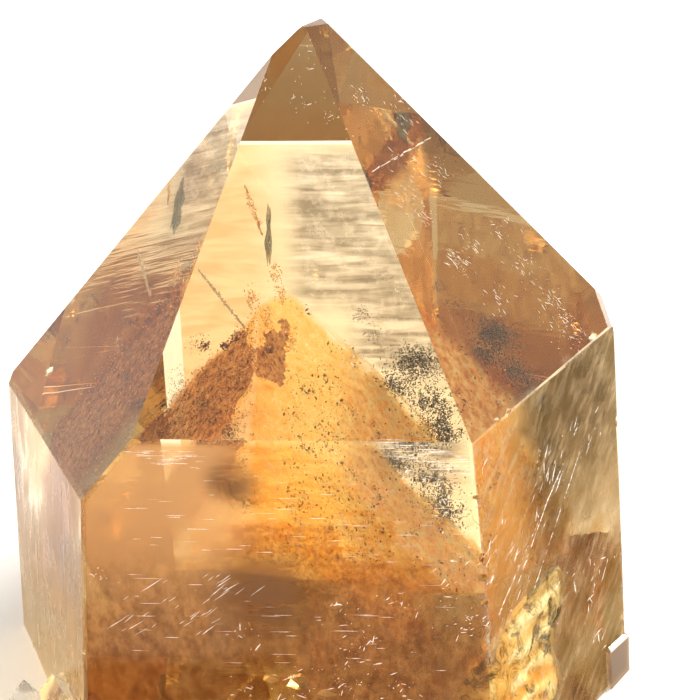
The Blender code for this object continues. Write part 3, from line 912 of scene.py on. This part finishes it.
# %% [markdown]
# ## Grains
# The dust is made of grains, and the larger ones show as specks: dark iron oxide on the
# films, and paler grains of clay. Each grain is a stretched eight-sided bead.
# They are scattered by chance, but more of them land where a clumpy noise is high.

# %% Grains
BEAD = [(1, 0, 0), (-1, 0, 0), (0, 1, 0), (0, -1, 0), (0, 0, 1), (0, 0, -1)]
BEAD_FACES = [(0, 2, 4), (2, 1, 4), (1, 3, 4), (3, 0, 4), (2, 0, 5), (1, 2, 5), (3, 1, 5), (0, 3, 5)]


class Heap:
    """Many small things, gathered as corners and faces of one mesh."""

    def __init__(self, seed):
        self.draw = random.Random(seed)
        self.corners = []
        self.faces = []

    def add_to_stone(self, name, finish, slot="quartz"):
        add_piece(name, self.corners, self.faces, None, finish, slot)


class GrainHeap(Heap):
    """A heap of small beads."""

    def add(self, centre, size, stretch=2.0):
        draw = self.draw
        axis = Vector((draw.gauss(0, 1), draw.gauss(0, 1), draw.gauss(0, 1) + 1e-3))
        turn = axis.to_track_quat("Z", "Y")
        shape = [size * draw.uniform(*share) for share in ((0.6, 1.0), (0.4, 0.8), (1.0, stretch))]
        first = len(self.corners)
        for corner in BEAD:
            self.corners.append(centre + turn @ Vector([a * b for a, b in zip(corner, shape)]))
        self.faces.extend([tuple(first + k for k in face) for face in BEAD_FACES])

    def scatter(self, sheet, count, sizes, lift, want):
        """Scatter beads over a sheet; `want` gives a place's share of the beads."""
        corners, faces, _ = sheet
        placed = 0
        while placed < count:
            face = self.draw.choice(faces)
            share = self.draw.random()
            centre = corners[face[0]].lerp(corners[face[2]], share)
            centre = centre.lerp(corners[face[1]], self.draw.random() * 0.5)
            if self.draw.random() < want(centre):
                jitter = Vector([self.draw.gauss(0, lift) for _ in range(3)])
                self.add(centre + jitter, self.draw.uniform(*sizes))
                placed += 1

    def clump(self, centre, radius, count, sizes):
        """A ragged clump of beads around a place."""
        for _ in range(count):
            off = Vector([self.draw.gauss(0, 0.45) for _ in range(3)])
            spot = Vector(centre) + Vector([a * b for a, b in zip(off, radius)])
            if cloudy(spot, 1.1, 31.0) > -0.25:
                self.add(spot, self.draw.uniform(*sizes))


def speck_finish(name, dark, light):
    web = Web(name)
    tone = web.noise(0.35)
    web.paint(web.ramp(tone, (0.35, dark), (0.65, light)), 0.7)
    return web.material


def gold_want(point):
    low = smooth_step(point.z, 8.0, -1.0)
    clumpy = smooth_step(cloudy(point, 2.2, 40.0), -0.35, 0.5)
    return (0.12 + 0.88 * low) * clumpy * (point.x > GOLD_LIMIT)


def brown_want(point):
    return 0.25 + 0.75 * smooth_step(cloudy(point, 1.5, 44.0), -0.3, 0.4)


dark = speck_finish("dark_grains", (0.05, 0.018, 0.006), (0.22, 0.09, 0.03))
heap = GrainHeap(71)
heap.scatter(SHEETS["right_point"], 450, (0.08, 0.17), 0.25, gold_want)
heap.scatter(SHEETS["right_point"], 2200, (0.04, 0.09), 0.30, gold_want)
heap.scatter(SHEETS["left_point"], 2600, (0.03, 0.09), 0.25, brown_want)
heap.add_to_stone("dark_grains", dark, "phantom_dust")
pale = speck_finish("pale_grains", (0.85, 0.42, 0.16), (1.0, 0.74, 0.42))
heap = GrainHeap(72)
heap.scatter(SHEETS["left_point"], 2200, (0.03, 0.09), 0.30, brown_want)
heap.add_to_stone("orange_grains", pale, "phantom_dust")

# %% [markdown]
# ## Moss, tufts and a needle
# Some guests inside the stone have shapes of their own: mossy smudges that float in the clear
# window, bright tufts on the phantom's point, a needle, an orange streak and a grey-green
# plate seen almost edge-on. Each is made of ragged clumps or lines of beads, and the plate
# is a small film.

# %% Guests in the stone
MOSS_ACROSS_UP = [(9.5, 1.9), (10.8, 1.3), (7.7, -1.1), (11.2, -2.8), (12.1, -5.2), (12.6, -7.2)]
MOSS = [(across, 8.0, up) for across, up in MOSS_ACROSS_UP]
MOSS_RIGHT = [(4.7, 8.0, 7.3), (5.9, 8.0, 4.9)]
TUFTS = [(-5.7, 4.0, 11.3), (-5.0, 4.0, 6.0), (-3.3, 4.0, 14.1), (-2.2, 4.0, 6.6)]
TUFTS += [(-4.2, 3.0, 9.6), (-3.0, 5.0, 11.4)]
LUMPS = [(-7.5, 3.2, 7.3), (-3.5, -1.8, 9.0), (-11.0, 5.9, 4.9), (-8.6, 3.6, 6.3)]
LUMPS += [(-8.7, 4.0, 6.0), (-10.7, 4.0, 6.0)]
OLIVE_SPOTS = [(-16.8, 13.7, 2.9), (-11.7, 6.6, 4.5), (-16.4, 23.0, -9.9)]
DARK_BLOCK = [(-10.6, 0.0, 1.2), (-9.4, 0.0, -0.2), (-8.2, 0.0, -1.7), (-6.9, 0.0, -3.0)]
WISPS = [((7.2, 8.0, 12.4), (8.6, 8.0, 8.9)), ((-11.9, 8.0, 1.2), (-11.0, 8.0, -1.2))]
NEEDLE = ((-11.8, 10.0, 11.2), (-7.4, 10.0, 4.4))
ORANGE_STREAK = ((-7.7, 18.0, 16.4), (-6.2, 18.0, 10.6))
PLATE = Plane(90.0, 0.0, -5.2)
PLATE_MIDDLE = (15.0, 12.0)
PLATE_HALF = (3.0, 3.4)
PLATE_SPREAD = (10.0, 20.0, 7.0, 17.0)
PLATE_STEP = 0.25


def scatter_along(heap, start, end, spread, count, sizes):
    """Beads along a line, thickest in its middle."""
    for _ in range(count):
        share = heap.draw.random()
        spot = Vector(start).lerp(Vector(end), share)
        width = spread * math.sin(math.pi * share) + 0.03
        off = Vector([heap.draw.gauss(0, width) for _ in range(3)])
        heap.add(spot + off, heap.draw.uniform(*sizes), 3.0)


def add_guest(name, seed, finish, clumps=(), lines=()):
    """A piece made of ragged clumps and of lines of beads."""
    heap = GrainHeap(seed)
    for spots, radius, count, sizes in clumps:
        for spot in spots:
            heap.clump(spot, radius, count, sizes)
    for line, spread, count, sizes in lines:
        scatter_along(heap, *line, spread, count, sizes)
    heap.add_to_stone(name, finish)


def plate_inside(point):
    off = ((point.y - PLATE_MIDDLE[0]) / PLATE_HALF[0], (point.z - PLATE_MIDDLE[1]) / PLATE_HALF[1])
    return 1.0 - math.hypot(*off) + 0.35 * cloudy(point, 2.0, 51.0)


def plate_wobble(point):
    return 0.3 * wander(point, 2.0, 52.0)


MOSS_CLUMPS = [
    (MOSS, (2.4, 1.2, 2.0), 900, (0.045, 0.11)),
    (MOSS_RIGHT + OLIVE_SPOTS, (1.2, 0.8, 1.2), 170, (0.03, 0.08)),
    (DARK_BLOCK, (1.5, 0.7, 1.2), 220, (0.04, 0.10)),
]
TUFT_CLUMPS = [(TUFTS, (0.7, 0.7, 1.5), 130, (0.04, 0.13))]
LUMP_CLUMPS = [(LUMPS, (0.5, 0.5, 0.5), 60, (0.05, 0.14))]
NEEDLE_LINES = [(NEEDLE, 0.05, 420, (0.04, 0.10))]
NEEDLE_LINES += [(wisp, 0.25, 60, (0.03, 0.08)) for wisp in WISPS]
grey = speck_finish("moss", (0.07, 0.06, 0.045), (0.26, 0.225, 0.16))
add_guest("moss", 81, grey, MOSS_CLUMPS)
golden = speck_finish("bright_tufts", (1.0, 0.46, 0.12), (1.0, 0.86, 0.50))
add_guest("tufts", 82, golden, TUFT_CLUMPS, [(ORANGE_STREAK, 0.16, 260, (0.03, 0.09))])
brown = speck_finish("brown_lumps", (0.10, 0.03, 0.01), (0.42, 0.16, 0.05))
add_guest("lumps", 83, brown, LUMP_CLUMPS)
pale = speck_finish("pale_needle", (0.85, 0.78, 0.62), (1.0, 0.97, 0.88))
add_guest("needle", 84, pale, (), NEEDLE_LINES)

# %% The grey-green plate
web = Web("grey_green_plate")
spots = web.noise(0.7, detail=5.0, roughness=0.7)
colour = web.ramp(spots, (0.4, (0.10, 0.11, 0.09)), (0.6, (0.34, 0.36, 0.30)))
web.paint(colour, 0.8)
cover = web.times(web.edge(0.4), web.rescale(spots, 0.35, 0.6, 0.35, 1.0))
finish = web.film(cover, (0.55, 0.56, 0.50))
sheet = veil_mesh(PLATE, PLATE_SPREAD, PLATE_STEP, plate_inside, plate_wobble)
add_piece("grey_green_plate", *sheet, finish)

# %% [markdown]
# ## Flecks, scratches and cracks
# Tiny cracks just under the skin flash white, and handling left scratches and bruised edges.
# Each is a flat shard or a thin ribbon, set a little way under a face, or just over the film
# where a side has one. Shards lie in loose clusters with a common direction, because cracks in
# a crystal follow its growth. A shard that would hang in the air is left out.

# %% Flecks and scratches
OVER_FILM = 0.22  # on the two sides the shards lie on top of the film
FRONT_FACE = Plane(*FRONT_SIDE[:2], FRONT_SIDE[2] + OVER_FILM)
RIGHT_FACE = Plane(*RIGHT_SIDE[:2], RIGHT_SIDE[2] + OVER_FILM)
SLIVER = [(-0.5, 0.0), (-0.2, -0.5), (0.25, -0.4), (0.5, 0.0), (0.15, 0.5), (-0.25, 0.4)]
UNDER_SKIN = -0.15
OFF_LIMIT = 0.25  # a shard farther out than this would hang in the air
FLASH = 0.35  # stands for the lamp's mirror image in a crack, which is too small to find
# Clusters: (across, up, radius) on a face, in mm.
RIGHT_POINT_CLUSTERS = [
    (2.8, 17.1, 1.3), (5.8, 15.4, 1.2), (0.2, 14.9, 1.0), (0.7, 12.4, 1.0), (3.6, 7.7, 1.2),
    (0.6, 7.2, 0.8), (8.7, 7.0, 1.2), (8.6, 3.4, 1.5), (8.8, 0.0, 1.5), (3.1, 1.9, 1.0),
    (8.9, -1.7, 1.3), (8.3, -3.2, 1.2), (8.1, -4.2, 1.3), (9.9, -6.9, 1.2), (5.2, 21.7, 1.0),
    (7.0, 23.8, 0.8), (2.1, 25.3, 0.8),
]
FRONT_POINT_CLUSTERS = [
    (1.8, 32.5, 1.2), (0.9, 28.6, 1.0), (3.8, 27.6, 1.0), (-2.75, 30.1, 0.9), (5.7, 23.8, 1.2),
    (6.9, 4.4, 1.0),
]
FRONT_FACE_CLUSTERS = [
    (13.4, 7.8, 1.3), (15.6, 5.7, 1.3), (14.1, 3.4, 1.2), (16.7, -1.1, 1.3), (14.7, -4.5, 1.3),
    (15.5, -7.9, 1.4), (16.9, -7.9, 1.0), (-19.2, -3.2, 0.8), (-5.6, -10.6, 1.2), (4.4, -6.9, 1.3),
    (6.1, -10.4, 1.3), (11.6, 8.4, 1.0), (17.8, 12.2, 0.8), (9.8, -5.7, 1.2), (5.6, -12.2, 1.4),
    (0.5, -15.0, 2.0), (3.0, -15.4, 1.6), (-6.4, -16.8, 1.2), (-1.4, -17.0, 1.5), (4.8, -17.2, 1.3),
    (9.6, -15.8, 1.2),
]
RIGHT_FACE_CLUSTERS = [
    (-8.6, -0.8, 1.2), (3.0, 0.8, 1.6), (-8.6, -8.8, 1.4), (-4.9, -7.4, 1.3), (0.6, -1.3, 1.6),
    (3.5, -13.4, 1.3), (8.4, -22.3, 1.2), (9.2, -13.0, 1.3), (-5.4, -3.2, 1.4), (0.5, 2.2, 1.4),
    (-0.3, 3.7, 1.2), (6.0, 3.8, 1.3), (8.5, 1.3, 1.2), (-9.4, 7.3, 1.0), (-10.9, -1.8, 1.0),
    (-9.8, -4.6, 1.0), (-11.7, -5.8, 0.9), (7.0, -16.6, 1.3),
]
# Face, its clusters, shards in each, their lengths, widths, direction and how it strays.
CLUSTERS = [
    (RIGHT_POINT, RIGHT_POINT_CLUSTERS, 40, (0.08, 0.9), (0.03, 0.10), 1.9, 0.4),
    (FRONT_POINT, FRONT_POINT_CLUSTERS, 16, (0.10, 0.7), (0.04, 0.14), 1.2, 0.9),
    (FRONT_FACE, FRONT_FACE_CLUSTERS, 16, (0.10, 1.1), (0.04, 0.12), 0.4, 0.6),
    (RIGHT_FACE, RIGHT_FACE_CLUSTERS, 9, (0.15, 2.0), (0.04, 0.14), 0.9, 0.5),
]
# Face, start, end and width.
SCRATCHES = [
    (RIGHT_POINT, (-1.95, 18.57), (7.08, 18.39), 0.10),
    (RIGHT_FACE, (-8.6, -8.8), (3.0, 0.8), 0.06),
    (RIGHT_FACE, (-5.4, -7.6), (0.2, -1.6), 0.06),
    (RIGHT_FACE, (-3.0, -10.0), (6.5, 1.0), 0.06),
]
# Where short scratches lie side by side on the front side.
GRAZES = [((-15.8, -8.8, 1.3), 9), ((-10.2, -7.6, 1.4), 12), ((-6.8, -4.2, 1.3), 14)]
GRAZES += [((-13.0, -5.0, 1.0), 5)]
# Zones of fine level streaks: face, ends of the zone, half height, count.
STREAK_ZONES = [
    (FRONT_FACE, (-18.1, 11.0), (-8.2, 9.8), 0.9, 60),
    (FRONT_FACE, (9.4, 11.6), (17.2, 9.4), 1.2, 70),
    (FRONT_FACE, (-17.0, 5.0), (17.0, 2.0), 4.5, 50),
    (FRONT_FACE, (-16.0, -8.0), (15.0, -9.0), 5.0, 40),
]


SKIN_CORNERS = [corner.co for corner in crystal.data.vertices]
SKIN = BVHTree.FromPolygons(SKIN_CORNERS, [face.vertices[:] for face in crystal.data.polygons])


def stands_off(point):
    """How far outside the crystal a place lies, in mm."""
    place = TO_WORLD @ point
    near, normal, _, _ = SKIN.find_nearest(place)
    return (place - near).dot(normal) / MM


class ShardHeap(Heap):
    """A heap of thin flat shards and ribbons that lie on planes."""

    def add(self, plane, across, up, length, width, angle, out=UNDER_SKIN):
        """One shard: a flat, uneven six-sided sliver."""
        along = Vector((math.cos(angle), math.sin(angle)))
        side = Vector((-along.y, along.x))
        first = len(self.corners)
        shard = []
        for share, wide in SLIVER:
            uneven = self.draw.uniform(0.6, 1.2)
            spot = Vector((across, up)) + along * share * length * uneven + side * wide * width * uneven
            shard.append(plane.point(spot.x, spot.y, out + self.draw.uniform(-0.04, 0.04)))
        if all(stands_off(corner) < OFF_LIMIT for corner in shard):
            self.corners += shard
            self.faces.append(tuple(range(first, first + 6)))

    def cluster(self, plane, middle, count, lengths, widths, angle, turn):
        across, up, radius = middle
        for _ in range(count):
            place = (self.draw.gauss(across, 0.8 * radius), self.draw.gauss(up, 0.8 * radius))
            size = self.draw.random() ** 3
            length = lengths[0] + size * (lengths[1] - lengths[0])
            width = widths[0] + size * (widths[1] - widths[0])
            self.add(plane, *place, length, width, self.draw.gauss(angle, turn))

    def scratch(self, plane, start, end, width):
        """A line broken into short shards, as a scratch skips over a face."""
        start, end = Vector(start), Vector(end)
        length = (end - start).length
        angle = math.atan2(end.y - start.y, end.x - start.x)
        for _ in range(int(length * 4)):
            spot = start.lerp(end, self.draw.random())
            up = spot.y + self.draw.gauss(0, width * 0.4)
            self.add(plane, spot.x, up, self.draw.uniform(0.3, 0.9), width, angle)

    def streaks(self, plane, start, end, half_height, count):
        for _ in range(count):
            spot = Vector(start).lerp(Vector(end), self.draw.random())
            up = spot.y + self.draw.uniform(-half_height, half_height)
            self.add(plane, spot.x, up, self.draw.uniform(0.8, 3.2), self.draw.uniform(0.02, 0.05), 0.0)


def fleck_finish():
    """White cracks: half see-through, with a bright rough face and a faint glow that is a painted
    glint.
    """
    web = Web("white_cracks")
    grain = web.noise(0.25, detail=3.0)
    colour = web.ramp(grain, (0.3, (0.95, 0.90, 0.80)), (0.6, (1.0, 1.0, 0.97)))
    web.paint(colour, 0.5)
    web.set(Emission_Color=(1.0, 0.96, 0.88, 1.0), Emission_Strength=FLASH)
    return web.film(web.rescale(grain, 0.35, 0.6, 0.6, 1.0), (1.0, 0.98, 0.94), 0.3)


heap = ShardHeap(91)
for plane, spots, *shards in CLUSTERS:
    for spot in spots:
        heap.cluster(plane, spot, *shards)
for scratch in SCRATCHES:
    heap.scratch(*scratch)
for spot, count in GRAZES:
    heap.cluster(FRONT_FACE, spot, count, (0.9, 3.2), (0.04, 0.08), 0.66, 0.06)
for zone in STREAK_ZONES:
    heap.streaks(*zone)
heap.add_to_stone("flecks", fleck_finish())

# %% [markdown]
# ## Haze on the right side
# Under the right side hang veils of tiny fluid bubbles. They dim and grey the light and show
# slanting whitish streaks. One film on the outside carries the streaks. Lying outside, it also
# dims the side's mirror image of the bright floor, which is painted shade, and it is darker and
# greyer towards the top. A feathery white patch low on the left, a little way in, marks an old
# crack that has healed.

# %% Veils on the right side
RIGHT_VEIL = Plane(60.8, 1.4, 26.73)
RIGHT_VEIL_SPREAD = (-14.0, 16.0, -30.0, 12.0)
RIGHT_VEIL_STEP = 0.35
FEATHER_STEP = 0.25
FEATHER_PLANE = Plane(60.8, 1.4, 25.6)
FEATHER_MIDDLE = (-11.0, -12.5)
FEATHER_HALF = (3.4, 5.0)
STREAK_TURN = 50.0


def slanted_noise(web, size, **settings):
    """Noise on the right side's plane, stretched along a slant."""
    turn = web.node("VectorRotate", {"rotation_type": "AXIS_ANGLE"}, Vector=web.place())
    turn.inputs["Axis"].default_value = RIGHT_VEIL.normal
    turn.inputs["Angle"].default_value = math.radians(-STREAK_TURN)
    stretched = web.vectors("MULTIPLY", turn.outputs["Vector"], (0.25, 0.25, 1.0))
    return web.noise(size, where=stretched, **settings)


def right_veil():
    web = Web("right_veil")
    streaks = slanted_noise(web, 0.8, detail=4.0, roughness=0.65)
    broad = web.noise(4.5, detail=2.0)
    colour = web.ramp(streaks, (0.4, (0.36, 0.23, 0.10)), (0.6, (0.72, 0.56, 0.34)))
    web.paint(colour, 0.9)
    edge = web.edge(1.0)
    patches = web.rescale(broad, 0.36, 0.6, 0.5, 1.0)
    thick = web.times(web.rescale(streaks, 0.42, 0.68, 0.16, 0.42), patches)
    tint = web.ramp(broad, (0.38, (0.60, 0.50, 0.34)), (0.62, (0.84, 0.73, 0.55)))
    high = web.rescale(web.along("Z"), -12.0, 2.0)
    tint = web.blend(high, tint, web.darken(tint, (0.43, 0.42, 0.43)))
    golden = web.rescale(web.reach(RIGHT_VEIL.across), 1.0, -6.0)
    tint = web.blend(golden, tint, (1.0, 0.80, 0.50))
    return web.film(web.times(edge, thick), web.blend(edge, WHITE, tint))


def feather_veil():
    web = Web("feather_veil")
    fibres = slanted_noise(web, 0.45, detail=6.0, roughness=0.75, bend=1.2)
    colour = web.ramp(fibres, (0.4, (0.70, 0.52, 0.34)), (0.6, (1.0, 0.92, 0.78)))
    web.paint(colour, 0.8)
    cover = web.times(web.edge(0.7), web.rescale(fibres, 0.42, 0.6, 0.0, 0.9))
    return web.film(cover, (0.97, 0.90, 0.78))


def right_inside(point):
    """How far inside the right side, and off the crust, a point on it lies."""
    place = TO_WORLD @ point
    bare = (place - crust.closest_point_on_mesh(place)[1]).length / MM - 0.3
    sides = neighbours_depth(RIGHT_VEIL, point)
    return 4.0 * min(sides, RIGHT_POINT.depth(point), above_foot(point), bare)


def feather_inside(point):
    across = (point.dot(RIGHT_VEIL.across) - FEATHER_MIDDLE[0]) / FEATHER_HALF[0]
    up = (point.dot(RIGHT_VEIL.up) - FEATHER_MIDDLE[1]) / FEATHER_HALF[1]
    ragged = 1.0 - math.hypot(across, up) + 0.4 * cloudy(point, 2.2, 62.0)
    return min(ragged, neighbours_depth(RIGHT_VEIL, point))


def feather_wobble(point):
    return 0.4 + 0.3 * wander(point, 1.5, 63.0)


# On the outside the film also darkens the side's mirror image: painted shade.
sheet = veil_mesh(RIGHT_VEIL, RIGHT_VEIL_SPREAD, RIGHT_VEIL_STEP, right_inside, no_wobble)
add_piece("right_veil", *sheet, right_veil())
sheet = veil_mesh(FEATHER_PLANE, RIGHT_VEIL_SPREAD, FEATHER_STEP, feather_inside, feather_wobble)
add_piece("feather_veil", *sheet, feather_veil())

# %% [markdown]
# ## The iron crust
# Yellow iron ochre fills a broken corner. It dried into a wrinkled skin with olive cracks and
# a brighter orange patch at its foot. The solid's mesh is made finer and pushed in and out by
# noise, a little less than the gap around it, and the colour follows the same noise.

# %% The crust
CRUST_CUTS = 2
CRUST_RELIEF = 0.28
CRUST_ORANGE_HEIGHT = -18.5


def crust_relief(point):
    ridge = 1.0 - 2.0 * abs(wander(point, 0.9, 71.0))
    return 0.55 * ridge + 0.45 * cloudy(point, 0.5, 72.0, 3)


def crust_finish():
    web = Web("iron_ochre")
    ridges = web.noise(2.2, up=0.7, detail=5.0, roughness=0.72, bend=1.5)
    fine = web.noise(0.3, detail=4.0)
    colour = web.ramp(
        ridges,
        (0.38, (0.12, 0.08, 0.02)),
        (0.44, (0.42, 0.27, 0.07)),
        (0.50, (0.72, 0.52, 0.18)),
        (0.60, (0.86, 0.68, 0.31)),
    )
    height = web.along("Z")
    low = web.rescale(height, CRUST_ORANGE_HEIGHT + 1.5, CRUST_ORANGE_HEIGHT - 1.0)
    orange = web.times(low, web.rescale(web.noise(1.8), 0.4, 0.6))
    colour = web.blend(orange, colour, (0.95, 0.52, 0.12))
    colour = web.blend(web.rescale(fine, 0.55, 0.75, 0.0, 0.5), colour, (0.95, 0.87, 0.62))
    web.paint(colour, 0.6)
    web.bump(web.maths("ADD", ridges, web.times(fine, 0.3)), 0.5)
    return web.material


mesh = welded_copy(crust)
bmesh.ops.subdivide_edges(mesh, edges=mesh.edges, cuts=CRUST_CUTS, use_grid_fill=True)
mesh.normal_update()
shifts = []
for corner in mesh.verts:
    shifts.append(corner.normal * CRUST_RELIEF * crust_relief(FROM_WORLD @ corner.co))
for corner, shift in zip(mesh.verts, shifts):
    corner.co += shift * MM
add_reworked("crust", mesh, crust_finish(), True, "iron_crust")
